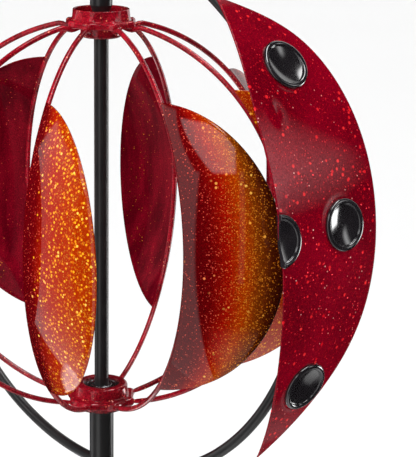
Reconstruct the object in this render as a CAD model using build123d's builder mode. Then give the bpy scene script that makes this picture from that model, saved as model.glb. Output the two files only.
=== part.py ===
from build123d import *
from math import acos, cos, degrees, radians, sin, sqrt
import os

# Garden windmill: a pole on a ground fork carries two spinners on one spindle. The inner
# spinner is a ball of eight wires with dished petals, and the outer one is a rod ring with
# two long leaf-shaped blades. Millimetres, +Z up, origin on the pole's axis at the ground.

# Ground fork
prong_depth = 210
prong_point = 30
centre_prong_d = 12
side_prong_d = 10
prong_spacing = 75
prong_shoulder = 1
step_bar_length = 176
step_bar_width = 24
step_bar_thickness = 6
step_bar_clearance = 22
socket_wall = 2.5
socket_height = 72
socket_fillet = 0.8
bar_fillet = 1
screw_d = 4
screw_head_d = 8
screw_head_height = 3
screw_head_gap = 0.5
hex_socket_r = 1.6
thumb_screw_shank = 4
thumb_screw_flute_r = 1.6
thumb_screw_fillet = 0.8

# Pole
pole_d = 19
pole_wall = 1.5
pole_section_length = 303
pole_section_count = 3
coupler_length = 100
coupler_wall = 1.5
coupler_screw_inset = 22
tube_chamfer = 0.3
cap_plug_length = 28
cap_flange = 3
cap_chamfer = 0.8

# Spindle and its small parts
spindle_d = 11
running_clearance = 0.05
axial_play = 0.4
washer_thickness = 1.5
washer_d = 17
spindle_chamfer = 0.8
spacer_relief = 0.4
bush_length = 12
bush_flange = 1.5

# Ball spinner
ball_r = 150
wire_d = 4
# Hand-welded, so the eight wires stand a few degrees off even spacing
wire_azimuths = (30, 72, 120.5, 167, 216, 256, 299.2, 339.7)
hub_flange_r = 25
hub_flange_thickness = 5
cup_r = 21.2
cup_height = 8.5
cup_wall = 1.5
cup_taper = 0.8
hub_bush_wall = 2.45
boss_wall = 7.5
boss_height = 8
boss_fillet = 3
flange_fillet = 1.2
collar_wall = 6.5
collar_height = 10
collar_fillet = 2.5
hub_foot_r = 19
hub_foot_height = 5
bearing_width = 8
bearing_race = 2.6
bearing_ball_gap = 3.3
bearing_shield = 0.8
bearing_shield_gap = 0.4
bearing_recess = 1.5
race_fillet = 0.4
hub_race_gap = 0.6
hub_gap = 2.5

# Petals: each is cut from a thin spherical shell that holds the wire in its surface
petal_half_height = 105.5
petal_width = 62.5
petal_shell_offset = 112
petal_sheet = 1.2

# Ring of the outer spinner: it clears the petals' free edges and meets both sleeves
ring_petal_clearance = 12.45
ring_rod_d = 8
ring_rise = 5
ring_azimuth = -40.7
lower_sleeve_bush_wall = 1.95
lower_sleeve_wall = 2
lower_sleeve_skirt = 42.9
upper_sleeve_bush_wall = 1.45
upper_sleeve_wall = 1.4
upper_sleeve_nose_wall = 0.95
upper_sleeve_nose = 3
upper_sleeve_taper = 5
upper_sleeve_nose_gap = 3.1
upper_sleeve_top = 8

# Blades: a leaf cut from flat sheet and rolled to a radius a little larger than the ring's
blade_roll_excess = 38
blade_sheet = 1.4
blade_weld_angle = 29
blade_weld_sink = 0.15
blade_lean = 3
blade_top_arc = 220
blade_bottom_arc = 141
blade_bottom_shift = -2
blade_inner_width = 20.7
blade_outer_width = 77.8
spot_r = 18.4
spot_rim = 2.6
spot_rim_height = 3.4
spot_rim_inner_drop = 0.6
spot_rim_outer_drop = 0.9
spot_sheet = 1.2
spot_back_inset = 0.3
# Spots on the flat blank: distance across from the ring's line, and along from mid height
spot_places = {
    "top": (25.5, 157),
    "side": (41.2, 39),
    "edge": (-blade_inner_width - 1, 37.7),
    "low": (15, -77),
}

# Finial
finial_base_wall = 3.5
finial_base_height = 4
finial_base_taper = 1.5
finial_neck_wall = 1.1
finial_neck_height = 5
finial_ball_r = 15
spindle_tip_inset = 4

# Worked-out heights and radii
step_bar_bottom = step_bar_clearance
step_bar_top = step_bar_bottom + step_bar_thickness
pole_bottom = step_bar_top
pole_top = pole_bottom + pole_section_count * pole_section_length
pole_r = pole_d / 2
pole_bore_r = pole_r - pole_wall
spindle_r = spindle_d / 2
running_r = spindle_r + running_clearance
cap_top = pole_top + cap_flange
inner_race_r = spindle_r + bearing_race
outer_race_r = inner_race_r + bearing_ball_gap
bearing_r = outer_race_r + bearing_race
collar_r = bearing_r + collar_wall
bush_r = running_r + hub_bush_wall
boss_r = bush_r + boss_wall
wire_rim_drop = sqrt(ball_r**2 - hub_flange_r**2)
petal_shell_r = sqrt(ball_r**2 + petal_shell_offset**2)
petal_edge_out = sqrt(petal_shell_r**2 - (petal_width - petal_shell_offset) ** 2)
petal_reach = sqrt(petal_edge_out**2 + petal_width**2)
ring_rod_r = ring_rod_d / 2
ring_r = petal_reach + ring_petal_clearance + ring_rod_r
lower_sleeve_bottom = cap_top + washer_thickness + axial_play + bush_flange
lower_sleeve_bore_r = running_r + lower_sleeve_bush_wall
lower_sleeve_r = lower_sleeve_bore_r + lower_sleeve_wall
# Height of the lower sleeve's top above the ring's foot, down from the ball's middle
hub_below_middle = wire_rim_drop + hub_flange_thickness / 2 + hub_foot_height
sleeve_above_foot = ring_r - ring_rise - hub_below_middle - hub_gap - bush_flange
lower_sleeve_length = lower_sleeve_skirt + sleeve_above_foot
lower_sleeve_top = lower_sleeve_bottom + lower_sleeve_length
lower_hub_bottom = lower_sleeve_top + bush_flange + hub_gap
lower_hub_height = hub_foot_height + hub_flange_thickness + collar_height
ball_z = lower_hub_bottom + hub_below_middle
upper_flange_bottom = ball_z + wire_rim_drop - hub_flange_thickness / 2
upper_flange_top = upper_flange_bottom + hub_flange_thickness
cup_top = upper_flange_top + cup_height
ring_z = ball_z + ring_rise
ring_top = ring_z + ring_r
upper_sleeve_bore_r = running_r + upper_sleeve_bush_wall
upper_sleeve_r = upper_sleeve_bore_r + upper_sleeve_wall
nose_r = running_r + upper_sleeve_nose_wall
upper_sleeve_bottom = upper_flange_top + upper_sleeve_nose_gap
upper_sleeve_end = ring_top + upper_sleeve_top
blade_roll_r = ring_r + blade_roll_excess
blade_half_span = 1.4 * blade_outer_width
finial_base_r = spindle_r + finial_base_wall
finial_neck_r = spindle_r + finial_neck_wall
finial_washer_bottom = upper_sleeve_end + bush_flange + axial_play
finial_bottom = finial_washer_bottom + washer_thickness
finial_neck_bottom = finial_bottom + finial_base_height + finial_base_taper
finial_neck_top = finial_bottom + finial_base_height + finial_neck_height
finial_ball_z = finial_neck_top + sqrt(finial_ball_r**2 - finial_neck_r**2)
spindle_top = finial_ball_z - spindle_tip_inset
spindle_bottom = pole_top - cap_plug_length

os.makedirs("parts", exist_ok=True)


def save(built, name):
    built.part.label = name
    export_step(built.part, f"parts/{name}.step")


# ---------------------------------------------------------------- ground fork
# Flat bar to push the fork in with a foot, bored for the three prongs
with BuildPart() as step_bar:
    with BuildSketch(Plane.XY.offset(step_bar_bottom)):
        SlotOverall(step_bar_length, step_bar_width)
    extrude(amount=step_bar_thickness)
    fillet(step_bar.faces().filter_by(Axis.Z).edges(), bar_fillet)
    with BuildSketch(Plane.XY.offset(step_bar_bottom)):
        Circle(centre_prong_d / 2 - prong_shoulder)
        with Locations((prong_spacing, 0), (-prong_spacing, 0)):
            Circle(side_prong_d / 2 - prong_shoulder)
    extrude(amount=step_bar_thickness, mode=Mode.SUBTRACT)
save(step_bar, "step_bar")

# Pointed rods, each with a shoulder under the bar and a tenon through it
prong_sizes = {
    "centre_prong": (0, centre_prong_d / 2),
    "left_prong": (-prong_spacing, side_prong_d / 2),
    "right_prong": (prong_spacing, side_prong_d / 2),
}
for prong_name, (prong_x, prong_r) in prong_sizes.items():
    with BuildPart() as prong:
        with BuildSketch(Plane.XZ.move(Location((prong_x, 0, 0)))):
            with BuildLine():
                Polyline(
                    (0, -prong_depth),
                    (prong_r, prong_point - prong_depth),
                    (prong_r, step_bar_bottom),
                    (prong_r - prong_shoulder, step_bar_bottom),
                    (prong_r - prong_shoulder, step_bar_top),
                    (0, step_bar_top),
                    close=True,
                )
            make_face()
        revolve(axis=Axis((prong_x, 0, 0), (0, 0, 1)))
    save(prong, prong_name)

# Upright socket welded on the bar, into which the lowest pole section drops
with BuildPart() as stake_socket:
    with BuildSketch(Plane.XY.offset(step_bar_top)):
        Circle(pole_r + socket_wall)
        Circle(pole_r, mode=Mode.SUBTRACT)
    extrude(amount=socket_height)
    fillet(stake_socket.edges().group_by(Axis.Z)[-1], socket_fillet)
    socket_screw_plane = Plane(
        origin=(0, -pole_r, step_bar_top + socket_height * 0.6),
        x_dir=(1, 0, 0),
        z_dir=(0, -1, 0),
    )
    with Locations(socket_screw_plane):
        Cylinder(
            screw_d / 2,
            socket_wall + 1,
            align=(Align.CENTER, Align.CENTER, Align.MIN),
            mode=Mode.SUBTRACT,
        )
save(stake_socket, "stake_socket")

# Thumb screw that pinches the pole in the socket
with BuildPart() as socket_screw:
    with BuildSketch(socket_screw_plane):
        Circle(screw_d / 2)
    extrude(amount=socket_wall + thumb_screw_shank)
    with BuildSketch(socket_screw_plane.offset(socket_wall + thumb_screw_shank)):
        Circle(screw_head_d)
        with PolarLocations(screw_head_d, 6):
            Circle(thumb_screw_flute_r, mode=Mode.SUBTRACT)
    extrude(amount=screw_head_height * 2)
    fillet(socket_screw.edges().group_by(Axis.Y)[0], thumb_screw_fillet)
save(socket_screw, "socket_screw")

# ---------------------------------------------------------------- pole
# Screw places: one above and one below each joint between pole sections
joint_heights = [
    pole_bottom + pole_section_length * number for number in range(1, pole_section_count)
]
screw_planes = [
    Plane(origin=(0, -pole_bore_r, height + step), x_dir=(1, 0, 0), z_dir=(0, -1, 0))
    for height in joint_heights
    for step in (-coupler_screw_inset, coupler_screw_inset)
]

pole_names = ["lower_pole", "middle_pole", "upper_pole"]
for number, pole_name in enumerate(pole_names):
    with BuildPart() as pole:
        with BuildSketch(Plane.XY.offset(pole_bottom + number * pole_section_length)):
            Circle(pole_r)
            Circle(pole_bore_r, mode=Mode.SUBTRACT)
        extrude(amount=pole_section_length)
        chamfer(pole.edges().filter_by(GeomType.CIRCLE).group_by(SortBy.RADIUS)[-1], tube_chamfer)
        with Locations(*screw_planes):
            Cylinder(screw_d / 2, 4 * pole_wall, mode=Mode.SUBTRACT)
    save(pole, pole_name)

# Inner tubes that join the pole sections end to end
for joint_height, coupler_name in zip(joint_heights, ["lower_coupler", "upper_coupler"]):
    with BuildPart() as coupler:
        with BuildSketch(Plane.XY.offset(joint_height - coupler_length / 2)):
            Circle(pole_bore_r)
            Circle(pole_bore_r - coupler_wall, mode=Mode.SUBTRACT)
        extrude(amount=coupler_length)
        with Locations(*screw_planes):
            Cylinder(screw_d / 2, 4 * coupler_wall, mode=Mode.SUBTRACT)
    save(coupler, coupler_name)

# Domed screws through pole and coupler walls
with BuildPart() as coupler_screws:
    for screw_plane in screw_planes:
        with BuildSketch(screw_plane.offset(-coupler_wall)):
            Circle(screw_d / 2)
        extrude(amount=coupler_wall + pole_wall + screw_head_height / 2)
        with BuildSketch(screw_plane.offset(pole_wall + screw_head_gap)):
            Circle(screw_head_d / 2)
            RegularPolygon(hex_socket_r, 6, mode=Mode.SUBTRACT)
        extrude(amount=screw_head_height)
save(coupler_screws, "coupler_screws")

# Plug with a flange that closes the pole and grips the foot of the spindle
with BuildPart() as pole_cap:
    with BuildSketch(Plane.XZ):
        with BuildLine():
            Polyline(
                (spindle_r, spindle_bottom),
                (pole_bore_r, spindle_bottom),
                (pole_bore_r, pole_top),
                (pole_r, pole_top),
                (pole_r, cap_top),
                (spindle_r, cap_top),
                close=True,
            )
        make_face()
    revolve(axis=Axis.Z)
    chamfer(pole_cap.edges().group_by(Axis.Z)[-1].sort_by(SortBy.RADIUS)[-1], cap_chamfer)
save(pole_cap, "pole_cap")

# ---------------------------------------------------------------- spindle
with BuildPart() as spindle:
    with BuildSketch(Plane.XY.offset(spindle_bottom)):
        Circle(spindle_r)
    extrude(amount=spindle_top - spindle_bottom)
    chamfer(spindle.edges().group_by(Axis.Z)[-1], spindle_chamfer)
save(spindle, "spindle")

# Washers under the outer spinner and under the finial
for washer_name, washer_bottom in (
    ("thrust_washer", cap_top),
    ("finial_washer", finial_washer_bottom),
):
    with BuildPart() as washer:
        with BuildSketch(Plane.XY.offset(washer_bottom)):
            Circle(washer_d / 2)
            Circle(spindle_r, mode=Mode.SUBTRACT)
        extrude(amount=washer_thickness)
    save(washer, washer_name)

# Spacer that lifts the inner race of the ball's bearing clear of the outer spinner
bearing_top = lower_hub_bottom + lower_hub_height - bearing_recess
bearing_bottom = bearing_top - bearing_width
spacer_bottom = lower_sleeve_top + bush_flange + axial_play
with BuildPart() as bearing_spacer:
    with BuildSketch(Plane.XY.offset(spacer_bottom)):
        Circle(inner_race_r - spacer_relief)
        Circle(spindle_r, mode=Mode.SUBTRACT)
    extrude(amount=bearing_bottom - spacer_bottom)
save(bearing_spacer, "bearing_spacer")

with BuildPart() as bearing_inner_race:
    with BuildSketch(Plane.XY.offset(bearing_bottom)):
        Circle(inner_race_r)
        Circle(spindle_r, mode=Mode.SUBTRACT)
    extrude(amount=bearing_width)
    fillet(bearing_inner_race.edges().group_by(Axis.Z)[-1], race_fillet)
save(bearing_inner_race, "bearing_inner_race")

# Turned finial: foot, waist and ball
with BuildPart() as finial:
    with BuildSketch(Plane.XZ):
        with BuildLine():
            Polyline(
                (0, spindle_top),
                (spindle_r, spindle_top),
                (spindle_r, finial_bottom),
                (finial_base_r, finial_bottom),
                (finial_base_r, finial_bottom + finial_base_height),
            )
            Line(
                (finial_base_r, finial_bottom + finial_base_height),
                (finial_neck_r, finial_neck_bottom),
            )
            Line(
                (finial_neck_r, finial_neck_bottom),
                (finial_neck_r, finial_neck_top),
            )
            ThreePointArc(
                (finial_neck_r, finial_neck_top),
                (finial_ball_r, finial_ball_z),
                (0, finial_ball_z + finial_ball_r),
            )
            Line((0, finial_ball_z + finial_ball_r), (0, spindle_top))
        make_face()
    revolve(axis=Axis.Z)
save(finial, "finial")

# ---------------------------------------------------------------- ball spinner
# Upper hub: an open cup on a flange with a boss below, bored for a bush
upper_boss_bottom = upper_flange_bottom - boss_height
with BuildPart() as upper_hub:
    with BuildSketch(Plane.XZ):
        with BuildLine():
            Polyline(
                (bush_r, upper_boss_bottom),
                (boss_r, upper_boss_bottom),
                (boss_r, upper_flange_bottom),
                (hub_flange_r, upper_flange_bottom),
                (hub_flange_r, upper_flange_top),
                (cup_r + cup_taper, upper_flange_top),
                (cup_r, cup_top),
                (cup_r - cup_wall, cup_top),
                (cup_r - cup_wall, upper_flange_top),
                (bush_r, upper_flange_top),
                close=True,
            )
        make_face()
    revolve(axis=Axis.Z)
    outer_edges = upper_hub.edges().filter_by(GeomType.CIRCLE)
    fillet(outer_edges.group_by(Axis.Z)[0].sort_by(SortBy.RADIUS)[-1], boss_fillet)
    flange_edges = upper_hub.edges().filter_by(GeomType.CIRCLE).group_by(SortBy.RADIUS)[-1]
    fillet(flange_edges, flange_fillet)
save(upper_hub, "upper_hub")

with BuildPart() as upper_hub_bush:
    with BuildSketch(Plane.XY.offset(upper_boss_bottom)):
        Circle(bush_r)
        Circle(running_r, mode=Mode.SUBTRACT)
    extrude(amount=upper_flange_top - upper_boss_bottom)
save(upper_hub_bush, "upper_hub_bush")

# Lower hub: a thick collar round the ball bearing on a flange with a tapered foot
lower_flange_bottom = lower_hub_bottom + hub_foot_height
lower_flange_top = lower_flange_bottom + hub_flange_thickness
collar_top = lower_flange_top + collar_height
with BuildPart() as lower_hub:
    with BuildSketch(Plane.XZ):
        with BuildLine():
            Polyline(
                (inner_race_r + hub_race_gap, lower_hub_bottom),
                (hub_foot_r, lower_hub_bottom),
                (hub_flange_r, lower_flange_bottom),
                (hub_flange_r, lower_flange_top),
                (collar_r, lower_flange_top),
                (collar_r, collar_top),
                (bearing_r, collar_top),
                (bearing_r, bearing_bottom),
                (inner_race_r + hub_race_gap, bearing_bottom),
                close=True,
            )
        make_face()
    revolve(axis=Axis.Z)
    collar_edge = lower_hub.edges().group_by(Axis.Z)[-1].sort_by(SortBy.RADIUS)[-1]
    fillet(collar_edge, collar_fillet)
    flange_edges = lower_hub.edges().filter_by(GeomType.CIRCLE).group_by(SortBy.RADIUS)[-1]
    fillet(flange_edges, flange_fillet)
save(lower_hub, "lower_hub")

# Outer race of the bearing with the shield that hides its balls
with BuildPart() as bearing_outer_race:
    with BuildSketch(Plane.XY.offset(bearing_bottom)):
        Circle(bearing_r)
        Circle(outer_race_r, mode=Mode.SUBTRACT)
    extrude(amount=bearing_width)
    with BuildSketch(Plane.XY.offset(bearing_top - 1.5 * bearing_shield)):
        Circle(outer_race_r)
        Circle(inner_race_r + bearing_shield_gap, mode=Mode.SUBTRACT)
    extrude(amount=bearing_shield)
save(bearing_outer_race, "bearing_outer_race")

# Wires: each lies on a meridian of the ball and ends on the two hub flanges
wire_r = wire_d / 2
wire_end_angle = degrees(acos((hub_flange_r - wire_r) / ball_r))
with BuildPart() as wire_shape:
    with BuildLine(Plane.XZ) as wire_path:
        CenterArc((0, ball_z), ball_r, -wire_end_angle, 2 * wire_end_angle)
    with BuildSketch(Plane(origin=wire_path.line @ 0, z_dir=wire_path.line % 0)):
        Circle(wire_r)
    sweep(path=wire_path.line)
    for hub_flange_bottom in (lower_flange_bottom, upper_flange_bottom):
        with Locations((0, 0, hub_flange_bottom - boss_height / 2)):
            Cylinder(
                hub_flange_r,
                hub_flange_thickness + boss_height,
                align=(Align.CENTER, Align.CENTER, Align.MIN),
                mode=Mode.SUBTRACT,
            )

# Petals: a half-oval of a thin spherical shell, with its straight side on the wire
with BuildPart() as petal_shape:
    with Locations((0, petal_shell_offset, ball_z)):
        Sphere(petal_shell_r + petal_sheet / 2)
        Sphere(petal_shell_r - petal_sheet / 2, mode=Mode.SUBTRACT)
    with BuildSketch(Plane.YZ.offset(ball_r / 3)):
        with BuildLine():
            EllipticalCenterArc(
                (0, ball_z), petal_width, petal_half_height, start_angle=-90, arc_size=180
            )
            Line((0, ball_z + petal_half_height), (0, ball_z - petal_half_height))
        make_face()
    extrude(amount=petal_shell_r, mode=Mode.INTERSECT)
    with Locations(Plane(origin=(0, 0, ball_z), z_dir=(0, 1, 0))):
        Torus(ball_r, wire_r, mode=Mode.SUBTRACT)

for number, azimuth in enumerate(wire_azimuths):
    with BuildPart() as wire:
        add(wire_shape.part.rotate(Axis.Z, azimuth))
    save(wire, f"wire_{number + 1}")
    with BuildPart() as petal:
        add(petal_shape.part.rotate(Axis.Z, azimuth))
    save(petal, f"petal_{number + 1}")

# ---------------------------------------------------------------- outer spinner
# Lower sleeve: a tube that turns on the spindle on two flanged bushes
with BuildPart() as lower_sleeve:
    with BuildSketch(Plane.XY.offset(lower_sleeve_bottom)):
        Circle(lower_sleeve_r)
        Circle(lower_sleeve_bore_r, mode=Mode.SUBTRACT)
    extrude(amount=lower_sleeve_length)
save(lower_sleeve, "lower_sleeve")

for bush_name, bush_end, direction in (
    ("lower_sleeve_foot_bush", lower_sleeve_bottom, 1),
    ("lower_sleeve_head_bush", lower_sleeve_top, -1),
):
    with BuildPart() as bush:
        with BuildSketch(Plane.XY.offset(bush_end)):
            Circle(lower_sleeve_bore_r)
            Circle(running_r, mode=Mode.SUBTRACT)
        extrude(amount=direction * bush_length)
        with BuildSketch(Plane.XY.offset(bush_end)):
            Circle(lower_sleeve_r)
            Circle(running_r, mode=Mode.SUBTRACT)
        extrude(amount=-direction * bush_flange)
    save(bush, bush_name)

# Upper sleeve: its tapered nose reaches down into the cup of the ball's upper hub
taper_bottom = upper_sleeve_bottom + upper_sleeve_nose
taper_top = taper_bottom + upper_sleeve_taper
bush_seat = upper_sleeve_end - bush_length
with BuildPart() as upper_sleeve:
    with BuildSketch(Plane.XZ):
        with BuildLine():
            Polyline(
                (running_r, upper_sleeve_bottom),
                (nose_r, upper_sleeve_bottom),
                (nose_r, taper_bottom),
                (upper_sleeve_r, taper_top),
                (upper_sleeve_r, upper_sleeve_end),
                (upper_sleeve_bore_r, upper_sleeve_end),
                (upper_sleeve_bore_r, taper_top),
                (running_r, taper_top),
                close=True,
            )
        make_face()
    revolve(axis=Axis.Z)
save(upper_sleeve, "upper_sleeve")

with BuildPart() as upper_sleeve_bush:
    with BuildSketch(Plane.XY.offset(bush_seat)):
        Circle(upper_sleeve_bore_r)
        Circle(running_r, mode=Mode.SUBTRACT)
    extrude(amount=bush_length)
    with BuildSketch(Plane.XY.offset(upper_sleeve_end)):
        Circle(upper_sleeve_r)
        Circle(running_r, mode=Mode.SUBTRACT)
    extrude(amount=bush_flange)
save(upper_sleeve_bush, "upper_sleeve_bush")

# Half rings: rods bent to a half circle from the lower sleeve to the upper one
with BuildPart() as half_ring_shape:
    with BuildLine(Plane.XZ) as ring_path:
        CenterArc((0, ring_z), ring_r, -90, 180)
    with BuildSketch(Plane(origin=ring_path.line @ 0, z_dir=ring_path.line % 0)):
        Circle(ring_rod_r)
    sweep(path=ring_path.line)
    with Locations((0, 0, ring_z - ring_r)):
        Cylinder(lower_sleeve_r, 4 * ring_rod_d, mode=Mode.SUBTRACT)
    with Locations((0, 0, ring_top)):
        Cylinder(upper_sleeve_r, 4 * ring_rod_d, mode=Mode.SUBTRACT)

# Blade frame: u runs across the blade, n points outwards, and the roll's axis is level
lean = radians(blade_lean)
across = Vector(sin(lean), cos(lean), 0)
outward = Vector(cos(lean), -sin(lean), 0)
roll_shift = blade_roll_r - blade_sheet / 2 - ring_r - ring_rod_r + blade_weld_sink
weld_turn = radians(blade_weld_angle)
roll_centre = Vector(-roll_shift * cos(weld_turn), 0, ring_z - roll_shift * sin(weld_turn))
roll_plane = Plane(origin=roll_centre, x_dir=outward, z_dir=across)
outline_plane = Plane(origin=roll_centre, x_dir=across, z_dir=outward)


def rolled(x, arc):
    """Height, above the roll's centre, of a point that lies at arc along the flat blank."""
    return (x, blade_roll_r * sin(arc / blade_roll_r))


def spot_plane(x, arc):
    """Plane on the rolled sheet at a point of the flat blank, normal outwards."""
    turn = arc / blade_roll_r
    normal = outward * cos(turn) + Vector(0, 0, sin(turn))
    return Plane(origin=roll_centre + normal * blade_roll_r + across * x, x_dir=across, z_dir=normal)


with BuildSketch(outline_plane.offset(blade_roll_r / 4)) as leaf:
    with BuildLine():
        Spline(
            rolled(0, blade_top_arc),
            rolled(-0.84 * blade_inner_width, 0.62 * blade_top_arc),
            rolled(-blade_inner_width, 0.18 * blade_top_arc),
            rolled(-0.78 * blade_inner_width, -0.44 * blade_bottom_arc),
            rolled(blade_bottom_shift, -blade_bottom_arc),
        )
        Spline(
            rolled(0, blade_top_arc),
            rolled(0.665 * blade_outer_width, 0.81 * blade_top_arc),
            rolled(blade_outer_width, 0.28 * blade_top_arc),
            rolled(0.67 * blade_outer_width, -0.43 * blade_bottom_arc),
            rolled(blade_bottom_shift, -blade_bottom_arc),
        )
    make_face()

with BuildPart() as blade_shape:
    with BuildSketch(roll_plane):
        Circle(blade_roll_r + blade_sheet / 2)
        Circle(blade_roll_r - blade_sheet / 2, mode=Mode.SUBTRACT)
    extrude(amount=blade_half_span, both=True)
    extrude(leaf.sketch, amount=blade_roll_r, dir=outward, mode=Mode.INTERSECT)
    for spot_across, spot_arc in spot_places.values():
        with Locations(spot_plane(spot_across, spot_arc)):
            Cylinder(spot_r - spot_rim / 2, 8 * blade_sheet, mode=Mode.SUBTRACT)

# Spots: dished discs with a raised round rim, each pressed into its hole in the blade
hole_r = spot_r - spot_rim / 2
spot_back = spot_back_inset - blade_sheet / 2
with BuildPart() as spot_shape:
    with BuildSketch(Plane.XZ):
        with BuildLine():
            Polyline(
                (hole_r - spot_rim, spot_rim_height - spot_rim_inner_drop),
                (hole_r - 0.7 * spot_rim, spot_rim_height),
                (hole_r - 0.3 * spot_rim, spot_rim_height),
                (hole_r, spot_rim_height - spot_rim_outer_drop),
                (hole_r, spot_back),
                (0, spot_back),
                (0, spot_back + spot_sheet),
            )
            ThreePointArc(
                (0, spot_back + spot_sheet),
                (0.6 * hole_r, spot_back + 1.6 * spot_sheet),
                (hole_r - spot_rim, spot_rim_height - spot_rim_inner_drop),
            )
        make_face()
    revolve(axis=Axis.Z)

for side, turn in (("a", 0), ("b", 180)):
    with BuildPart() as half_ring:
        add(half_ring_shape.part.rotate(Axis.Z, ring_azimuth + turn))
    save(half_ring, f"half_ring_{side}")
    with BuildPart() as blade:
        add(blade_shape.part.rotate(Axis.Z, ring_azimuth + turn))
    save(blade, f"blade_{side}")
    for spot_name, (spot_across, spot_arc) in spot_places.items():
        spot_location = spot_plane(spot_across, spot_arc).location
        with BuildPart() as spot:
            add(spot_shape.part.moved(spot_location))
            extrude(leaf.sketch, amount=blade_roll_r, dir=outward, mode=Mode.INTERSECT)
        with BuildPart() as turned_spot:
            add(spot.part.rotate(Axis.Z, ring_azimuth + turn))
        save(turned_spot, f"spot_{spot_name}_{side}")
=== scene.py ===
import math
import bpy
import numpy as np
from mathutils import Matrix, Vector


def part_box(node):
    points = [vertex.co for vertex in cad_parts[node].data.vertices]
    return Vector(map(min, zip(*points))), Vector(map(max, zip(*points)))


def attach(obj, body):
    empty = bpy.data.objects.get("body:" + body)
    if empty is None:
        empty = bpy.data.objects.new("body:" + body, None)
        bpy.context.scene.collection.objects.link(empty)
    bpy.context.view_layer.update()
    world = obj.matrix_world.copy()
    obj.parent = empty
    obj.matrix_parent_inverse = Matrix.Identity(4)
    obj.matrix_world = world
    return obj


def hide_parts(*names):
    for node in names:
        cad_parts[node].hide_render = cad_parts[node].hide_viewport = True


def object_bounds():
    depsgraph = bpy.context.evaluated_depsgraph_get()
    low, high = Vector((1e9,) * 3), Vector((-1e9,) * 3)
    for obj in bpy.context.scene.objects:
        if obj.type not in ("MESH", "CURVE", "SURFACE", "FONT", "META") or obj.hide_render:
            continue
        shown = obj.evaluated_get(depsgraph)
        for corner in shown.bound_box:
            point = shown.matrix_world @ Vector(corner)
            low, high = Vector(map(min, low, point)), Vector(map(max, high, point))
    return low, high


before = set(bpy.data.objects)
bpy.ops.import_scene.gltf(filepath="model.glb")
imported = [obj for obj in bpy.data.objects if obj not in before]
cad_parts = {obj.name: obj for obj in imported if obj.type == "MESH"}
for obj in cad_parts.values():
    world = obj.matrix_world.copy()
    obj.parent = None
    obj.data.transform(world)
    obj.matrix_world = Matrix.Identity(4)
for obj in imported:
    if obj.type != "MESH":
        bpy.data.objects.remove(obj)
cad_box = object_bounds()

# ------------------------------------------------------------ fork, pole and spindle
# Mild steel bar, rod and tube, stove-dried under a satin black powder coat. The coat is
# slightly pebbled, and duller and greyer where hands and soil have rubbed it.


class Value:
    """A socket's value on its way through a finish's nodes; + - and * add Math nodes."""

    def __init__(self, tree, socket):
        self.tree, self.socket = tree, socket

    def node(self, kind, settings=None, inputs=None, output=0):
        """Adds any node: its settings first, then the values or links of its sockets."""
        new = self.tree.nodes.new(kind)
        for name, value in (settings or {}).items():
            if name == "stops":
                while len(new.color_ramp.elements) < len(value):
                    new.color_ramp.elements.new(0.5)
                for stop, (place, colour) in zip(new.color_ramp.elements, value):
                    stop.position, stop.color = place, (*colour, 1)
            else:
                setattr(new, name, value)
        for key, value in (inputs or {}).items():
            if isinstance(value, Value):
                self.tree.links.new(value.socket, new.inputs[key])
            else:
                new.inputs[key].default_value = value
        return Value(self.tree, new.outputs[output])

    def other(self, output):
        """Another output of the same node."""
        return Value(self.tree, self.socket.node.outputs[output])

    def math(self, operation, first, second, clamp=False):
        settings = {"operation": operation, "use_clamp": clamp}
        return self.node("ShaderNodeMath", settings, {0: first, 1: second})

    def __add__(self, other):
        return self.math("ADD", self, other)

    def __sub__(self, other):
        return self.math("SUBTRACT", self, other)

    def __rsub__(self, other):
        return self.math("SUBTRACT", other, self)

    def __mul__(self, other):
        return self.math("MULTIPLY", self, other)

    __radd__ = __add__
    __rmul__ = __mul__

    def above(self, edge, softness):
        """0 below edge, 1 above edge + softness, and a straight ramp between."""
        return self.math("DIVIDE", self - edge, softness, clamp=True)

    def noise(self, scale, detail):
        inputs = {"Vector": self, "Scale": scale, "Detail": detail}
        return self.node("ShaderNodeTexNoise", None, inputs)

    def mix(self, under, over):
        """The colour under where this value is 0, and over where it is 1."""
        under, over = [(*c, 1) if isinstance(c, tuple) else c for c in (under, over)]
        return self.node("ShaderNodeMix", {"data_type": "RGBA"}, {0: self, 6: under, 7: over}, 2)

    def ramp(self, *stops):
        return self.node("ShaderNodeValToRGB", {"stops": stops}, {0: self})

    def bump(self, distance, strength):
        inputs = {"Height": self, "Distance": distance, "Strength": strength}
        return self.node("ShaderNodeBump", None, inputs)


def finish(name, recipe):
    """A Principled material; recipe(place) returns its sockets' values by name."""
    material = bpy.data.materials.new(name)
    material.use_nodes = True
    tree = material.node_tree
    shader = tree.nodes["Principled BSDF"]
    place = Value(tree, tree.nodes.new("ShaderNodeTexCoord").outputs["Object"])
    for socket, value in recipe(place).items():
        if isinstance(value, Value):
            tree.links.new(value.socket, shader.inputs[socket])
        else:
            shader.inputs[socket].default_value = value
    return material


def powder_coat(place):
    pebbles = place.noise(1100, 2)
    patches = place.noise(38, 5)
    scuffs = place.noise(240, 6).above(0.62, 0.12) * patches.above(0.5, 0.2)
    coat = patches.above(0.3, 0.5).mix((0.010, 0.010, 0.011), (0.019, 0.018, 0.018))
    return {
        "Base Color": (scuffs * 0.6).mix(coat, (0.055, 0.052, 0.050)),
        "Roughness": 0.34 + scuffs * 0.25 + (patches - 0.5) * 0.12,
        "Coat Weight": 0.3,
        "Coat Roughness": 0.18,
        "Normal": pebbles.bump(0.0003, 0.12),
    }


powder_black = finish("satin_black_powder_coat", powder_coat)


def coat_nodes(material, *nodes):
    """Gives CAD nodes that keep their own shape one finish."""
    for node in nodes:
        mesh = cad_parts[node].data
        mesh.materials.clear()
        mesh.materials.append(material)


coat_nodes(
    powder_black,
    "step_bar", "centre_prong", "left_prong", "right_prong", "stake_socket",
    "lower_pole", "middle_pole", "upper_pole", "pole_cap", "spindle", "finial",
)

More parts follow.
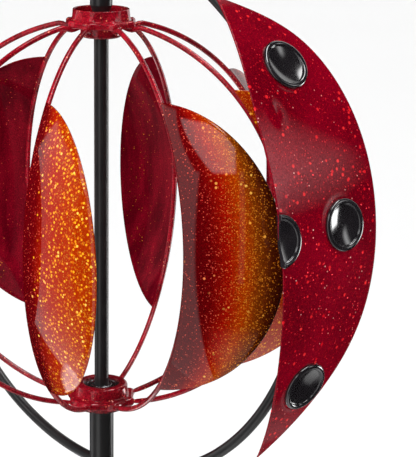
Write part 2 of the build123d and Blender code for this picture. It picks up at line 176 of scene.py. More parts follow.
# ------------------------------------------------------------ small hardware
# Bought-in parts: zinc-plated screws, couplers, washers and spacer, the ground races of the
# ball bearing, and moulded black nylon bushes.


def zinc_plate(place):
    lines = place.node("ShaderNodeMapping", None, {"Vector": place, "Scale": (1, 1, 14)}).noise(420, 4)
    stains = place.noise(70, 4).above(0.55, 0.2)
    return {
        "Base Color": stains.mix((0.42, 0.42, 0.43), (0.24, 0.22, 0.20)),
        "Metallic": 1.0,
        "Roughness": 0.26 + lines * 0.22,
    }


def ground_steel(place):
    lines = place.node("ShaderNodeMapping", None, {"Vector": place, "Scale": (1, 1, 30)}).noise(500, 3)
    return {
        "Base Color": place.noise(160, 3).mix((0.40, 0.40, 0.42), (0.62, 0.62, 0.64)),
        "Metallic": 1.0,
        "Roughness": 0.16 + lines * 0.16,
    }


def moulded_nylon(place):
    return {
        "Base Color": place.noise(300, 3).mix((0.012, 0.012, 0.013), (0.03, 0.03, 0.03)),
        "Roughness": 0.45 + place.noise(900, 2) * 0.15,
    }


zinc = finish("zinc_plated_steel", zinc_plate)
race_steel = finish("ground_race_steel", ground_steel)
nylon = finish("black_nylon", moulded_nylon)
coat_nodes(
    zinc,
    "socket_screw", "coupler_screws", "lower_coupler", "upper_coupler",
    "thrust_washer", "finial_washer", "bearing_spacer",
)
coat_nodes(race_steel, "bearing_inner_race", "bearing_outer_race")
coat_nodes(
    nylon,
    "upper_hub_bush", "lower_sleeve_foot_bush", "lower_sleeve_head_bush", "upper_sleeve_bush",
)

# ------------------------------------------------------------ hubs of the ball
# Two turned steel hubs hold the ball's wires. The upper one is an open cup on a flange with a
# boss below, and the lower one is a thick collar round the bearing. Each wire is welded to the
# flange's edge, which leaves a lump there, and both are sprayed with red glitter enamel.


def skin(name, rings, material, body, replaced, wrap=False, marks=None):
    """Closed mesh over closed loops of points, an array (stations, points round, 3).

    Each loop joins the next with four-sided faces. The last loop joins the first where wrap
    is set, and otherwise a fan to the middle of each end loop closes the ends. Loops that
    run the wrong way round give a negative volume, and then every face is reversed.
    """
    stations, count, _ = rings.shape
    here = np.arange(count)
    after = np.roll(here, -1)
    rows = np.arange(stations if wrap else stations - 1)[:, None]
    next_rows = (rows + 1) % stations
    quads = np.stack([rows * count + here, rows * count + after,
                      next_rows * count + after, next_rows * count + here], axis=-1).reshape(-1, 4)
    points = rings.reshape(-1, 3)
    corners = points[quads]
    crossed = np.cross(corners[:, 2] - corners[:, 0], corners[:, 3] - corners[:, 1])
    inside_out = ((corners.mean(axis=1) - points.mean(axis=0)) * crossed).sum() < 0
    faces = quads.tolist()
    if not wrap:
        last = (stations - 1) * count
        first_fan = np.stack([after, here, np.full(count, len(points))], axis=-1)
        last_fan = np.stack([last + here, last + after, np.full(count, len(points) + 1)], axis=-1)
        points = np.concatenate([points, [rings[0].mean(axis=0), rings[-1].mean(axis=0)]])
        faces += first_fan.tolist() + last_fan.tolist()
    if inside_out:
        faces = [face[::-1] for face in faces]
    mesh = bpy.data.meshes.new(name)
    mesh.from_pydata(points.tolist(), [], faces)
    mesh.polygons.foreach_set("use_smooth", np.ones(len(faces), dtype=bool))
    for mark, values in (marks or {}).items():
        values = np.broadcast_to(values, (stations, count))
        ends = [] if wrap else [values[0].mean(), values[-1].mean()]
        attribute = mesh.attributes.new(mark, "FLOAT", "POINT")
        attribute.data.foreach_set("value", np.append(values.ravel(), ends).astype(np.float32))
    mesh.materials.append(material)
    piece = bpy.data.objects.new(name, mesh)
    bpy.context.scene.collection.objects.link(piece)
    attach(piece, body)
    if replaced:
        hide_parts(*replaced)
    return piece


def flakes(place, scale, share, radius, softness=0.1):
    """Round flakes: a share of the Voronoi cells, each filled out to radius cell widths.

    Returns the mask, and a random colour and a random number that stay the same over a flake.
    """
    cell = place.node("ShaderNodeTexVoronoi", None, {"Vector": place, "Scale": scale})
    colour = cell.other(1)
    draw = colour.node("ShaderNodeSeparateColor", None, {0: colour})
    mask = draw.above(1 - share, 0.02) * (radius - cell).above(0, softness)
    return mask, colour, draw.other(1)


def tilted(colour, mask, amount):
    """The surface's normal, turned a random way by up to amount on each flake."""
    normal = colour.tree.nodes.new("ShaderNodeNewGeometry").outputs["Normal"]
    offset = colour.node("ShaderNodeVectorMath", {"operation": "SUBTRACT"}, {0: colour, 1: (0.5, 0.5, 0.5)})
    scaled = colour.node("ShaderNodeVectorMath", {"operation": "SCALE"}, {0: offset, "Scale": mask * amount})
    summed = colour.node(
        "ShaderNodeVectorMath", {"operation": "ADD"}, {0: scaled, 1: Value(colour.tree, normal)}
    )
    return colour.node("ShaderNodeVectorMath", {"operation": "NORMALIZE"}, {0: summed})


def red_glitter(place):
    fine, fine_colour, fine_draw = flakes(place, 1000, 0.40, 0.42)
    coarse, _, coarse_draw = flakes(place, 480, 0.14, 0.34)
    cloud = place.noise(60, 4)
    enamel = cloud.above(0.35, 0.3).mix((0.22, 0.0012, 0.009), (0.55, 0.007, 0.026))
    enamel = (place.noise(700, 3).above(0.38, 0.24) * 0.6).mix(enamel, (0.0, 0.0, 0.0))
    fine_flake = fine_draw.mix((0.42, 0.006, 0.012), (0.75, 0.05, 0.04))
    coarse_flake = coarse_draw.mix((0.80, 0.06, 0.04), (1.0, 0.30, 0.18))
    return {
        "Base Color": coarse.mix((fine * 0.8).mix(enamel, fine_flake), coarse_flake),
        "Metallic": 0.25 + fine * 0.3,
        "Roughness": 0.38 - fine * 0.08,
        "Specular IOR Level": 0.05,
        "Coat Weight": 1.0,
        "Coat Roughness": 0.04,
        "Normal": tilted(fine_colour, fine, 0.5),
    }


red_enamel = finish("red_glitter_enamel", red_glitter)


def rounded(corners, radius, steps=6):
    """A closed profile (r, z) whose corners are cut back by radius and joined by a curve.

    Each corner's curve is quadratic: from the point before it, pulled by it, to the one after.
    """
    corners = np.asarray(corners, float)
    radius = np.broadcast_to(radius, len(corners))
    sides = [np.roll(corners, 1, axis=0) - corners, np.roll(corners, -1, axis=0) - corners]
    lengths = [np.linalg.norm(side, axis=1) for side in sides]
    start, end = [
        corners + side * (np.minimum(radius, 0.45 * length) / length)[:, None]
        for side, length in zip(sides, lengths)
    ]
    t = np.linspace(0, 1, steps)[None, :, None]
    curve = (1 - t) ** 2 * start[:, None] + 2 * t * (1 - t) * corners[:, None] + t**2 * end[:, None]
    return curve.reshape(-1, 2)


def turned(profile, count=192):
    """A closed profile (r, z) carried round the Z axis: count loops of (x, y, z) points."""
    angle = np.arange(count)[:, None] * (2 * np.pi / count)
    r, z = profile[None, :, 0], profile[None, :, 1]
    return np.stack([r * np.cos(angle), r * np.sin(angle), z + 0 * angle], axis=-1)


def welded(rings, azimuths, weld_r, weld_z, lump, width, height):
    """Raises a lump on a turned hub at each wire, by a bell curve of the distance round the
    hub and of the height. It pushes points outwards and away from the flange's middle height,
    fully at the flange's edge and not at all within 0.6 of its radius."""
    x, y, z = rings[..., 0], rings[..., 1], rings[..., 2]
    r = np.hypot(x, y)
    azimuth = np.arctan2(y, x)[..., None]
    apart = (azimuth - azimuths + np.pi) % (2 * np.pi) - np.pi
    near = np.exp(-((apart * weld_r / width) ** 2)).sum(axis=-1)
    near = near * np.exp(-(((z - weld_z) / height) ** 2)) * np.clip((r - 0.6 * weld_r) / (0.4 * weld_r), 0, 1)
    grow = 1 + lump * near / np.maximum(r, 1e-6)
    bulged = rings.copy()
    bulged[..., 0] *= grow
    bulged[..., 1] *= grow
    bulged[..., 2] += 0.5 * (z - weld_z) * near
    return bulged


wire_r = 0.002
wire_names = [f"wire_{number}" for number in range(1, 9)]


def reach(node, rod_r):
    """Where an upright hoop's rod is farthest out: its (x, y), from the node's box less rod_r."""
    low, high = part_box(node)
    side = [1 if low[axis] + high[axis] > 0 else -1 for axis in (0, 1)]
    far = [max(abs(low[axis]), abs(high[axis])) - rod_r for axis in (0, 1)]
    return side[0] * far[0], side[1] * far[1]


wire_reach = np.array([reach(name, wire_r) for name in wire_names])
wire_azimuths = np.arctan2(wire_reach[:, 1], wire_reach[:, 0])
ball_r = float(np.hypot(*wire_reach[0]))
petal_low, petal_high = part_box("petal_1")
ball_z = (petal_low.z + petal_high.z) / 2

hub_low, hub_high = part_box("upper_hub")
flange_r = hub_high.x
flange_thickness = 0.005
rim_drop = math.sqrt(ball_r**2 - flange_r**2)
upper_flange_z = ball_z + rim_drop
lower_flange_z = ball_z - rim_drop
bush_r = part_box("upper_hub_bush")[1].x
cup_r = 0.0212
boss_r = 0.0155
cup_wall = 0.0015
cup_flare = 0.0008
cup_floor = upper_flange_z + flange_thickness / 2
upper_weld = {"lump": 0.0030, "width": 0.0036, "height": 0.0038}
upper_profile = rounded(
    [
        (bush_r, hub_low.z), (boss_r, hub_low.z), (boss_r, upper_flange_z - flange_thickness / 2),
        (flange_r, upper_flange_z - flange_thickness / 2), (flange_r, cup_floor),
        (cup_r + cup_flare, cup_floor), (cup_r, hub_high.z), (cup_r - cup_wall, hub_high.z),
        (cup_r - cup_wall, cup_floor), (bush_r, cup_floor),
    ],
    np.array([0.2, 3, 1.5, 2.2, 1.5, 1.2, 0.7, 0.7, 1.2, 0.2]) / 1000,
)
skin("upper_hub_turned",
     welded(turned(upper_profile), wire_azimuths, flange_r, upper_flange_z, **upper_weld),
     red_enamel, "ball_spinner", ["upper_hub"], wrap=True)

hub_low, hub_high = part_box("lower_hub")
outer_race_low, outer_race_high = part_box("bearing_outer_race")
bearing_r = outer_race_high.x
bearing_low = outer_race_low.z
bore_clearance = 0.0006
bore_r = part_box("bearing_inner_race")[1].x + bore_clearance
foot_r = 0.019
collar_r = 0.0205
lower_weld = {"lump": 0.0034, "width": 0.0040, "height": 0.0038}
lower_profile = rounded(
    [
        (bore_r, hub_low.z), (foot_r, hub_low.z), (flange_r, lower_flange_z - flange_thickness / 2),
        (flange_r, lower_flange_z + flange_thickness / 2),
        (collar_r, lower_flange_z + flange_thickness / 2), (collar_r, hub_high.z),
        (bearing_r, hub_high.z), (bearing_r, bearing_low), (bore_r, bearing_low),
    ],
    np.array([0.3, 1.5, 2, 2, 1.5, 3, 0.8, 0.1, 0.1]) / 1000,
)
skin("lower_hub_turned",
     welded(turned(lower_profile), wire_azimuths, flange_r, lower_flange_z, **lower_weld),
     red_enamel, "ball_spinner", ["lower_hub"], wrap=True)

# ------------------------------------------------------------ wires of the ball
# Eight 4 mm steel wires, bent by hand to half hoops and welded to the two hubs. The top ends
# are nipped down to pass under the upper flange. Same red glitter enamel as the hubs.


def rod(path, side, radius, count=20):
    """Loops round a path (n, 3): a circle in the plane across the path at each point.

    One axis of the circle is at right angles to the path and to side, and the other is at
    right angles to both of those.
    """
    along = np.gradient(path, axis=0)
    along /= np.linalg.norm(along, axis=1, keepdims=True)
    first = np.cross(along, side)
    first /= np.linalg.norm(first, axis=1, keepdims=True)
    second = np.cross(first, along)
    angle = np.linspace(0, 2 * np.pi, count, endpoint=False)[None, :, None]
    radius = np.broadcast_to(radius, len(path))[:, None, None]
    return path[:, None] + radius * (np.cos(angle) * first[:, None] + np.sin(angle) * second[:, None])


def turned_to(azimuth, r, y, z):
    """Points given by distance out, distance to the left and height, in the plane of azimuth."""
    out = np.array([math.cos(azimuth), math.sin(azimuth), 0])
    left = np.array([-math.sin(azimuth), math.cos(azimuth), 0])
    up = np.array([0, 0, 1])
    return r[..., None] * out + y[..., None] * left + z[..., None] * up


def rounded_ends(count, radius, steps=6):
    """Radii along a rod whose ends close in a quarter round."""
    radii = np.full(count, radius)
    closing = radius * np.sin(np.linspace(0.08, 1, steps) * np.pi / 2)
    radii[:steps] = closing
    radii[-steps:] = closing[::-1]
    return radii


nip = 0.0042
nip_reach = 0.034
nip_overlap = 0.002
wire_count = 150
wire_foot_r = flange_r - 0.004
wire_head_r = 0.0165
latitude = np.linspace(-math.acos(wire_foot_r / ball_r), math.acos(wire_head_r / ball_r), wire_count)
for name, azimuth in zip(wire_names, wire_azimuths):
    wire_out = ball_r * np.cos(latitude)
    nipped = np.clip((nip_reach - wire_out) / (nip_reach - flange_r + nip_overlap), 0, 1) * (latitude > 0)
    wire_z = ball_z + ball_r * np.sin(latitude) - nip * nipped**2 * (3 - 2 * nipped)
    path = turned_to(azimuth, wire_out, 0 * wire_out, wire_z)
    side = np.array([-math.sin(azimuth), math.cos(azimuth), 0])
    skin(name + "_bent", rod(path, side, rounded_ends(wire_count, wire_r)),
         red_enamel, "ball_spinner", [name])

# ------------------------------------------------------------ petals
# Half-oval leaves of 1.2 mm sheet, dished like a piece of a large ball and welded to the
# wires along their straight side. The outer face is candy enamel sprayed from dark red at
# the wire to gold, full of gold flakes; on most petals it darkens to brown at the free edge,
# which is painted shade. The inner face is dark red with lighter upright streaks that are
# painted highlights.


def flame_glitter(place):
    across = place.node("ShaderNodeAttribute", {"attribute_name": "across"}, None, 2)
    inside = place.node("ShaderNodeAttribute", {"attribute_name": "inside"}, None, 2)
    glitter = place.node("ShaderNodeAttribute", {"attribute_name": "glitter"}, None, 2)
    spray = across + (place.noise(22, 4) - 0.5) * 0.14
    # The ramp's brown stops past 0.72 are painted shade along the free edge, which turns away from the light.
    outer = spray.ramp(
        (0.00, (0.14, 0.0006, 0.003)), (0.13, (0.13, 0.0008, 0.003)), (0.24, (0.17, 0.0010, 0.002)),
        (0.42, (0.42, 0.006, 0.001)), (0.58, (0.52, 0.050, 0.001)), (0.72, (0.27, 0.044, 0.002)),
        (0.86, (0.085, 0.012, 0.001)), (1.00, (0.040, 0.005, 0.001)),
    )
    # The inner face's lighter upright streaks are painted highlights, standing for soft reflections down the
    # dished face.
    streak_highlights = place.node("ShaderNodeMapping", None, {"Vector": place, "Scale": (1, 1, 0.16)}).noise(90, 4)
    inner = streak_highlights.above(0.35, 0.35).mix((0.11, 0.0005, 0.006), (0.25, 0.003, 0.013))
    enamel = inside.mix(outer, inner)
    gold = spray.above(0.10, 0.5) * (1 - inside)
    # shown thins the flakes on the inner face, and past 0.72 inside the painted shade of the free edge.
    shown = (1 - 0.8 * inside) * (1 - spray.above(0.72, 0.25) * 0.6)
    grain = place.noise(1300, 2).above(0.38, 0.24)
    enamel = (grain * 0.5).mix(enamel, (0.0, 0.0, 0.0))
    dust, _, dust_draw = flakes(place, 1000, (0.16 + 0.40 * gold) * shown, 0.46)
    fine_share = (0.09 + (0.16 + 0.24 * glitter) * gold) * shown
    fine, fine_colour, fine_draw = flakes(place, 560, fine_share, 0.36)
    coarse_share = (0.015 + (0.34 * glitter - 0.11) * gold) * shown
    coarse, _, coarse_draw = flakes(place, 290, coarse_share, 0.32)
    heavy = spray.above(0.20, 0.25) * (1 - inside) * glitter.above(0.5, 0.4)
    blob, _, blob_draw = flakes(place, 380, 0.9 * heavy, 0.40, 0.16)
    golden = spray.above(0.28, 0.30)
    warm = golden.mix((0.60, 0.015, 0.015), (0.80, 0.19, 0.006))
    yellow = glitter.mix((1.0, 0.26, 0.02), (1.0, 0.50, 0.04))
    pale = golden.mix((1.0, 0.12, 0.07), yellow)
    colour = (dust * dust_draw * 0.8).mix(enamel, dust_draw.mix(warm, pale))
    colour = (fine * 0.9).mix(colour, fine_draw.mix(warm, pale))
    colour = (heavy * 0.6).mix(colour, (0.33, 0.012, 0.001))
    blob_gold = blob_draw.mix((0.80, 0.15, 0.004), (1.0, 0.46, 0.015))
    colour = (blob * (0.4 + blob_draw * 0.6)).mix(colour, blob_gold)
    colour = coarse.mix(colour, coarse_draw.mix(pale, (1.0, 0.60, 0.10)))
    return {
        "Base Color": colour,
        "Metallic": 0.12 + fine * 0.25,
        "Roughness": 0.36 - fine * 0.08,
        "Specular IOR Level": 0.0,
        "Coat Weight": 1 - 0.93 * inside,
        "Coat Roughness": 0.025,
        "Normal": tilted(fine_colour, fine, 0.5),
    }


flame_enamel = finish("flame_glitter_enamel", flame_glitter)


def sheet_section(low, high, half, face_count, rim_count=9):
    """Closed section of a sheet, half thick on each side of its middle, for every station.

    Its outer face runs from low to high, a half circle turns round the edge, the inner face
    runs back, and another half circle closes it. Returns distances across and heights.
    """
    low, high = low[:, None], high[:, None]
    edge = np.minimum(half, 0.5 * (high - low))
    face = low + edge + (high - low - 2 * edge) * np.linspace(0, 1, face_count)
    turn = np.linspace(0, np.pi, rim_count)[None, 1:-1]
    across = [face, high - edge + edge * np.sin(turn), face[:, ::-1], low + edge - edge * np.sin(turn)]
    flat = np.ones_like(face)
    bent = np.cos(turn) + 0 * low
    return np.concatenate(across, axis=1), half * np.concatenate([flat, bent, -flat, -bent], axis=1)


petal_half_height = (petal_high.z - petal_low.z) / 2
petal_width = 0.0625
petal_offset = 0.112
petal_half_sheet = 0.0006
petal_shell_r = math.hypot(ball_r, petal_offset)
petal_edge_roll = 0.0009
petal_lap = 0.0012
petal_lap_lift = 0.0016
petal_edge_width = 0.005
# For each petal: where its spray starts, how far it spreads, its bias and its glitter.
petal_sprays = [(0, 1, 1, 0.4)] * 5 + [(0.05, 0.60, 2.0, 1), (0, 1, 1, 0.4), (0.48, 0.14, 1, 0.7)]
slant = np.linspace(-0.5 * np.pi + 0.02, 0.5 * np.pi - 0.02, 161)
petal_reach = petal_width * np.cos(slant)
spray_width = 0.45 * petal_width + 0.55 * petal_reach[:, None]
across, height = sheet_section(-petal_lap * np.cos(slant), petal_reach, petal_half_sheet, 61)
rise = petal_half_height * np.sin(slant)[:, None]
curl = np.clip((across - petal_reach[:, None] + petal_edge_width) / petal_edge_width, 0, 1) ** 2
lift = height - petal_edge_roll * curl + petal_lap_lift * (1 - across / petal_width)
shell_depth = np.sqrt(petal_shell_r**2 - (across - petal_offset) ** 2 - rise**2)
scale = (petal_shell_r + lift) / petal_shell_r
for number, azimuth in enumerate(wire_azimuths):
    name = f"petal_{number + 1}"
    loops = turned_to(azimuth, shell_depth * scale, petal_offset + (across - petal_offset) * scale,
                      ball_z + rise * scale)
    start, spread, bias, glitter = petal_sprays[number]
    marks = {"across": start + spread * (1 - np.clip(1 - across / spray_width, 0, None) ** bias),
             "inside": 0.5 - 0.5 * height / petal_half_sheet, "glitter": glitter}
    skin(name + "_dished", loops, flame_enamel, "ball_spinner", [name], marks=marks)

# ------------------------------------------------------------ sleeves and ring
# The outer spinner turns on two steel sleeves. A ring of 8 mm rod, bent in two halves, is
# welded to them, with a rippled bead where rod and sleeve meet. Satin black powder coat.

coat_nodes(powder_black, "lower_sleeve", "upper_sleeve")


def round_bead(name, centre, first, second, r, thickness, material, body, ripples=9):
    """A rippled weld bead: a closed rod round a circle of radius r, whose plane holds first
    and second, and whose thickness swells by an eighth, ripples times round."""
    turn = np.arange(-1, 73) * (2 * np.pi / 72)
    path = centre + r * (np.cos(turn)[:, None] * first + np.sin(turn)[:, None] * second)
    swell = thickness * (1 + 0.125 * np.sin(ripples * turn))
    loops = rod(path, np.cross(first, second), swell, 14)[1:-1]
    skin(name, loops, material, body, None, wrap=True)


ring_rod_r = 0.004
bead_thickness = 0.0013
ring_reach = reach("half_ring_a", ring_rod_r)
ring_r = math.hypot(*ring_reach)
ring_low, ring_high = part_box("half_ring_a")
ring_z = (ring_low.z + ring_high.z) / 2
ring_azimuth = math.atan2(ring_reach[1], ring_reach[0])
ring_turns = {"a": ring_azimuth, "b": ring_azimuth + math.pi}
ring_start = 0.0075
ring_latitude = np.linspace(-1, 1, 240) * math.acos(ring_start / ring_r)
for half, azimuth in ring_turns.items():
    path = turned_to(azimuth, ring_r * np.cos(ring_latitude), 0 * ring_latitude,
                     ring_z + ring_r * np.sin(ring_latitude))
    side = np.array([-math.sin(azimuth), math.cos(azimuth), 0])
    skin(f"half_ring_{half}_bent", rod(path, side, ring_rod_r, 28),
         powder_black, "outer_spinner", [f"half_ring_{half}"])
    for sleeve, way in (("upper_sleeve", 1), ("lower_sleeve", -1)):
        sleeve_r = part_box(sleeve)[1].x
        climb = way * math.acos(sleeve_r / ring_r)
        centre = turned_to(azimuth, np.array(ring_r * math.cos(climb)), np.array(0.0),
                           np.array(ring_z + ring_r * math.sin(climb)))
        across_rod = turned_to(azimuth, np.array(math.cos(climb)), np.array(0.0), np.array(math.sin(climb)))
        round_bead(f"{sleeve}_bead_{half}", centre, side, across_rod, ring_rod_r, bead_thickness,
                   powder_black, "outer_spinner")

# ------------------------------------------------------------ blades
# Two long leaves of 1.4 mm sheet, rolled a little flatter than the ring and welded to its rod
# on their inner side. Crimson candy enamel with bright red flakes, on both faces.


def crimson_glitter(place):
    inside = place.node("ShaderNodeAttribute", {"attribute_name": "inside"}, None, 2)
    cloud = place.noise(14, 4)
    enamel = cloud.above(0.35, 0.3).mix((0.20, 0.0002, 0.009), (0.35, 0.0004, 0.016))
    enamel = (inside * 0.5).mix(enamel, (0.06, 0.0005, 0.003))
    grain = place.noise(1100, 3).above(0.36, 0.28)
    enamel = (grain * 0.5).mix(enamel, (0.0, 0.0, 0.0))
    dust, _, dust_draw = flakes(place, 1000, 0.30, 0.44)
    fine, fine_colour, fine_draw = flakes(place, 520, 0.16, 0.35)
    coarse, _, coarse_draw = flakes(place, 260, 0.13, 0.38)
    spark, _, spark_draw = flakes(place, 560, 0.03, 0.34)
    colour = (dust * 0.7).mix(enamel, dust_draw.mix((0.36, 0.001, 0.008), (0.60, 0.008, 0.014)))
    colour = (fine * 0.9).mix(colour, fine_draw.mix((0.62, 0.004, 0.014), (1.0, 0.02, 0.035)))
    colour = (coarse * 0.9).mix(colour, coarse_draw.mix((0.75, 0.004, 0.014), (1.0, 0.03, 0.035)))
    colour = spark.mix(colour, spark_draw.mix((1.0, 0.10, 0.10), (1.0, 0.55, 0.50)))
    return {
        "Base Color": colour,
        "Metallic": 0.18 + fine * 0.25,
        "Roughness": 0.34 - fine * 0.06,
        "Specular IOR Level": 0.0,
        "Coat Weight": 1 - grain * 0.6,
        "Coat Roughness": 0.05,
        "Normal": tilted(fine_colour, fine, 0.5),
    }


crimson_enamel = finish("crimson_glitter_enamel", crimson_glitter)


def smooth_line(points, count):
    """Natural cubic spline through a few points, by the distance from one to the next.

    Solves for the second derivatives that make the slope continuous, then blends each span.
    """
    points = np.asarray(points, float)
    knots = np.append(0, np.cumsum(np.linalg.norm(np.diff(points, axis=0), axis=1)))
    span = np.diff(knots)[:, None]
    inner = np.arange(1, len(knots) - 1)
    system = np.eye(len(knots))
    system[inner, inner - 1] = span[:-1, 0]
    system[inner, inner] = 2 * (span[:-1, 0] + span[1:, 0])
    system[inner, inner + 1] = span[1:, 0]
    slope = np.diff(points, axis=0) / span
    bend = np.zeros_like(points)
    bend[inner] = 6 * (slope[1:] - slope[:-1])
    bend = np.linalg.solve(system, bend)
    at = np.linspace(0, knots[-1], count)
    left = np.clip(np.searchsorted(knots, at, side="right") - 1, 0, len(knots) - 2)
    width = span[left]
    after = (at - knots[left])[:, None] / width
    before = 1 - after
    return (before * points[left] + after * points[left + 1]
            + ((before**3 - before) * bend[left] + (after**3 - after) * bend[left + 1]) * width**2 / 6)


blade_roll_r = 0.2455
blade_half_sheet = 0.0007
blade_weld_angle = math.radians(29)
blade_lean = math.radians(3)
blade_top_arc = 0.220
blade_bottom_arc = 0.141
blade_bottom_shift = -0.002
blade_inner_width = 0.0207
blade_outer_width = 0.0778
blade_sink = 0.00015
roll_shift = blade_roll_r - blade_half_sheet - ring_r - ring_rod_r + blade_sink
roll_out = -roll_shift * math.cos(blade_weld_angle)
roll_z = ring_z - roll_shift * math.sin(blade_weld_angle)
blade_tips = [(0, blade_top_arc), (blade_bottom_shift, -blade_bottom_arc)]
inner_line = [(-0.84 * blade_inner_width, 0.62 * blade_top_arc),
              (-blade_inner_width, 0.18 * blade_top_arc),
              (-0.78 * blade_inner_width, -0.44 * blade_bottom_arc)]
outer_line = [(0.665 * blade_outer_width, 0.81 * blade_top_arc),
              (blade_outer_width, 0.28 * blade_top_arc),
              (0.67 * blade_outer_width, -0.43 * blade_bottom_arc)]


def blade_edge(arc, line):
    """Distance across from the ring's line to one edge of the leaf, at each arc height.

    The edge is a spline through the tips and three points, in the plane that it is cut in.
    """
    places = np.array([blade_tips[0], *line, blade_tips[1]])
    places[:, 1] = blade_roll_r * np.sin(places[:, 1] / blade_roll_r)
    edge = smooth_line(places, 800)[::-1]
    return np.interp(blade_roll_r * np.sin(arc / blade_roll_r), edge[:, 1], edge[:, 0])


def on_blade(azimuth, across, arc, lift):
    """Points of the rolled leaf: its blank's distances across and along, and height above it.

    The blank bends round a level axis, which leans a little from the ring's plane.
    """
    level = (blade_roll_r + lift) * np.cos(arc / blade_roll_r)
    out = roll_out + level * math.cos(blade_lean) + across * math.sin(blade_lean)
    left = -level * math.sin(blade_lean) + across * math.cos(blade_lean)
    return turned_to(azimuth, out, left, roll_z + (blade_roll_r + lift) * np.sin(arc / blade_roll_r))


spot_r = 0.0184
spot_places = {"top": (0.0255, 0.157), "side": (0.0412, 0.039),
               "edge": (-0.0217, 0.0377), "low": (0.015, -0.077)}
press_depth = 0.0022
press_r = 0.0155
spot_ridge = 0.0003
spot_ridge_width = 0.0014
spot_ridge_gap = 0.001


def pressed(rho):
    """How deep the sheet is pressed in at rho from a spot's centre: a shallow bowl."""
    return press_depth * np.clip(1 - (rho / press_r) ** 2, 0, 1)


arc_middle = (blade_top_arc - blade_bottom_arc) / 2
arc_half = (blade_top_arc + blade_bottom_arc) / 2
arc = arc_middle + arc_half * np.sin(np.linspace(-0.5 * np.pi + 0.03, 0.5 * np.pi - 0.03, 361))
across, height = sheet_section(blade_edge(arc, inner_line), blade_edge(arc, outer_line), blade_half_sheet, 91)
along = arc[:, None]
from_spots = [np.hypot(across - x, along - s) for x, s in spot_places.values()]
ridges = sum(np.exp(-(((rho - spot_r - spot_ridge_gap) / spot_ridge_width) ** 2)) for rho in from_spots)
bowls = sum(pressed(rho) for rho in from_spots)
wave_height = 0.00016
wave_length = 0.021
wave_width = 0.017
waves = wave_height * np.sin(along / wave_length + 1.3) * np.sin(across / wave_width + 0.4)
weld_arc = blade_roll_r * blade_weld_angle
dent_depth = 0.0007
dent_width = 0.0045
dent_length = 0.0075
weld_dent = dent_depth * np.exp(-((across / dent_width) ** 2 + ((along - weld_arc) / dent_length) ** 2))
cup_depth = 0.0014
cupping = -cup_depth * (across / blade_outer_width) ** 2
lift = height + (spot_ridge * ridges) * (height > 0) - bowls + waves + cupping - weld_dent
marks = {"inside": 0.5 - 0.5 * height / blade_half_sheet}
for half, azimuth in ring_turns.items():
    skin(f"blade_{half}_rolled", on_blade(azimuth, across, along, lift), crimson_enamel,
         "outer_spinner", [f"blade_{half}"], marks=marks)

# ------------------------------------------------------------ spots
# Gloss black pressed discs, dished with a thick round rim, set through the blades and
# crimped on the back. One on each blade is cut off flush with the blade's inner edge.


def gloss_black_enamel(place):
    haze = place.noise(90, 4)
    return {
        "Base Color": haze.mix((0.008, 0.007, 0.009), (0.018, 0.015, 0.017)),
        "Roughness": 0.16 + haze.above(0.5, 0.3) * 0.05,
        "Specular IOR Level": 1.0,
        "Coat Weight": 1.0,
        "Coat Roughness": 0.08,
    }


gloss_black = finish("gloss_black_enamel", gloss_black_enamel)
spot_rim = 0.0026
spot_rim_height = 0.0034
spot_dish = -0.0008
spot_crimp = 0.0006
rim_turn = np.linspace(np.pi, 0, 17)
rim_rho = spot_r - spot_rim * 0.75 * (1 - np.cos(rim_turn))
rim_lift = spot_rim_height - spot_rim * 0.55 * (1 - np.sin(rim_turn))
dish_rho = np.linspace(0, rim_rho[0], 26)[:-1]
dish_lift = spot_dish + (rim_lift[0] - spot_dish) * (dish_rho / rim_rho[0]) ** 2
front_rho = np.concatenate([dish_rho, rim_rho])
front_lift = np.concatenate([dish_lift, rim_lift])
spot_back_gap = 0.0004
spot_back_bevel = 0.0006
spot_back_rise = 0.0008
back_rho = np.append(np.linspace(0, spot_r - spot_back_bevel, 24), spot_r)
back_lift = -blade_half_sheet - spot_back_gap - pressed(back_rho) - spot_crimp * (back_rho > press_r)
back_lift[-1] += spot_back_rise
for half, azimuth in ring_turns.items():
    for spot, (x, s) in spot_places.items():
        cut = spot == "edge"
        gap = float(blade_edge(np.array([s]), inner_line)[0]) - x
        span = math.acos(gap / spot_r) - 0.002 if cut else math.pi
        turn = np.linspace(-span, span, 97 if cut else 96, endpoint=cut)[:, None]
        nearest = gap / np.cos(turn) if cut else 0 * turn
        front = np.maximum(front_rho, nearest)
        back = np.maximum(back_rho[::-1], nearest)
        rho = np.concatenate([front, back], axis=1)
        tall = np.concatenate([np.interp(front, front_rho, front_lift),
                               np.interp(back, back_rho, back_lift)], axis=1)
        loops = on_blade(azimuth, x + rho * np.cos(turn), s + rho * np.sin(turn), tall)
        skin(f"spot_{spot}_{half}_pressed", loops, gloss_black, "outer_spinner",
             [f"spot_{spot}_{half}"], wrap=not cut)

# ------------------------------------------------------------ studio
# Pale floor and three soft lights: the key on the left, one above in front and one high on
# the right. White boards all round show only in the gloss of the enamel.

floor_z = cad_box[0].z
floor_mesh = bpy.data.meshes.new("floor")
floor_half = 40
floor_mesh.from_pydata(
    [(-floor_half, -floor_half, floor_z), (floor_half, -floor_half, floor_z),
     (floor_half, floor_half, floor_z), (-floor_half, floor_half, floor_z)], [], [(0, 1, 2, 3)])
floor = bpy.data.objects.new("floor", floor_mesh)
bpy.context.scene.collection.objects.link(floor)


def pale_floor(place):
    return {
        "Base Color": place.noise(0.8, 3).mix((0.93, 0.93, 0.93), (0.95, 0.95, 0.95)),
        "Roughness": 0.9,
    }


floor_mesh.materials.append(finish("pale_floor", pale_floor))

world = bpy.data.worlds.new("studio")
bpy.context.scene.world = world
world.use_nodes = True
world_tree = world.node_tree
background = world_tree.nodes["Background"]
direction = Value(world_tree, world_tree.nodes.new("ShaderNodeTexCoord").outputs["Generated"])
split = direction.node("ShaderNodeSeparateXYZ", None, {0: direction})
aside, back, up = split, split.other(1), split.other(2)
bearing = aside.math("ARCTAN2", aside, 0 - back) * math.degrees(1)
elevation = up.math("ARCSINE", up, 0) * math.degrees(1)


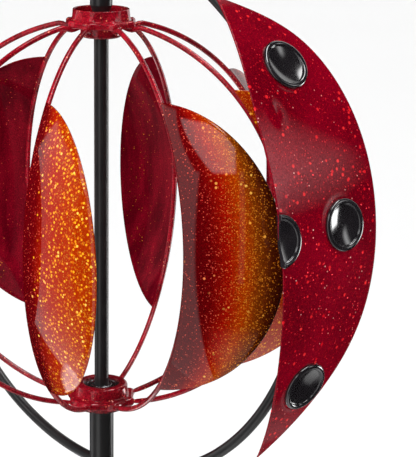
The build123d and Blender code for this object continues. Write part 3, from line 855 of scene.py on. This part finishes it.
def panel(left, right, bottom, top, radiance, softness=1.5, slope=0.0):
    """A white board round the studio, as gloss shows it: a rectangle of bearings and
    elevations in degrees, radiance inside and falling to 0 over softness degrees at its edges.
    Its lower edge rises by slope degrees for each degree of bearing."""
    inside = bearing.above(left, softness) * (1 - bearing.above(right, softness))
    foot = elevation - slope * (bearing - left) if slope else elevation
    return inside * foot.above(bottom, softness) * (1 - elevation.above(top, softness)) * radiance


boards = (
    panel(-46, -12.5, -91, 26, 0.8)
    + panel(-45, 6, 26, 49, 2.2) * (bearing + (elevation - 26) * 1.1).above(-5, 1.5)
    + panel(-46, 20, 26, 52, 0.8) * (1 - (bearing + (elevation - 26) * 0.85).above(-14, 1.5))
    + panel(-66, -46, 28, 52, 1.7)
    + panel(-114, -76, -55, 22, 1.0, 2) * (1 - bearing.above(-106, 26) * 0.85)
    + panel(-142, -108, -74, -43, 2.2)
    + panel(8, 10.5, -25, 27, 0.25, 1)
    + panel(80, 90.5, -4, 25, 2.1, 9, 0.6)
    + panel(80, 130, -66, -46, 0.35, 4)
    + panel(107, 126, -22, -8, 7.0, 4)
    + panel(20, 150, 58, 72, 7.0, 4)
    + panel(134, 150, -5, 52, 0.8, 4)
    + (panel(-10, 181, -91, -60, 0.45, 14) + panel(-181, -46, -91, -57, 0.6, 3))
    + panel(150, 178, -40, 45, 0.7)
)
seen = direction.node("ShaderNodeLightPath").other("Is Camera Ray")
ray = seen.other("Is Glossy Ray")
sky = 0.34 + elevation.above(25, 40) * 1.1 + panel(-150, -25, -50, 35, 1.1, 10)
strength = seen + (1 - ray - seen) * sky + ray * boards
world_tree.links.new(strength.socket, background.inputs["Strength"])
background.inputs["Color"].default_value = (1, 1, 1, 1)
floor.visible_glossy = False

ball_centre = Vector((0, 0, ball_z))


def softbox(name, offset, width, height, radiance):
    """A rectangle of even light that faces the ball. Its power is radiance * pi * area."""
    light = bpy.data.lights.new(name, "AREA")
    light.shape = "RECTANGLE"
    light.size, light.size_y = width, height
    light.energy = radiance * math.pi * width * height
    lamp = bpy.data.objects.new(name, light)
    lamp.location = ball_centre + Vector(offset)
    lamp.rotation_euler = Vector(offset).to_track_quat("Z", "Y").to_euler()
    lamp.visible_glossy = False
    lamp.visible_camera = False
    bpy.context.scene.collection.objects.link(lamp)


softbox("key_light", (-1.9, -0.8, 1.0), 1.5, 1.5, 4.6)
softbox("front_light", (-0.4, -1.5, 1.9), 1.2, 1.2, 3.6)
softbox("side_light", (1.6, -0.6, 2.1), 0.9, 1.2, 4.4)

# ------------------------------------------------------------ camera
# A long lens a little above the ball, in front of it and slightly to the right.

camera_data = bpy.data.cameras.new("camera")
camera_data.sensor_width = 36
camera_data.lens = 140.1
camera_data.clip_end = 200
camera = bpy.data.objects.new("camera", camera_data)
bpy.context.scene.collection.objects.link(camera)
yaw, pitch, roll = math.radians(-2.67), math.radians(14.63), math.radians(0.84)
ahead = Vector((math.sin(yaw) * math.cos(pitch), math.cos(yaw) * math.cos(pitch), -math.sin(pitch)))
level = Vector((math.cos(yaw), -math.sin(yaw), 0))
upright = level.cross(ahead)
right = level * math.cos(roll) + upright * math.sin(roll)
above = upright * math.cos(roll) - level * math.sin(roll)
camera_offset = Vector((0.14355, -1.31843, 0.33596))
turned_camera = Matrix((right, above, -ahead)).transposed().to_4x4()
camera.matrix_world = Matrix.Translation(ball_centre + camera_offset) @ turned_camera
bpy.context.scene.camera = camera
bpy.context.scene.view_settings.view_transform = "Standard"
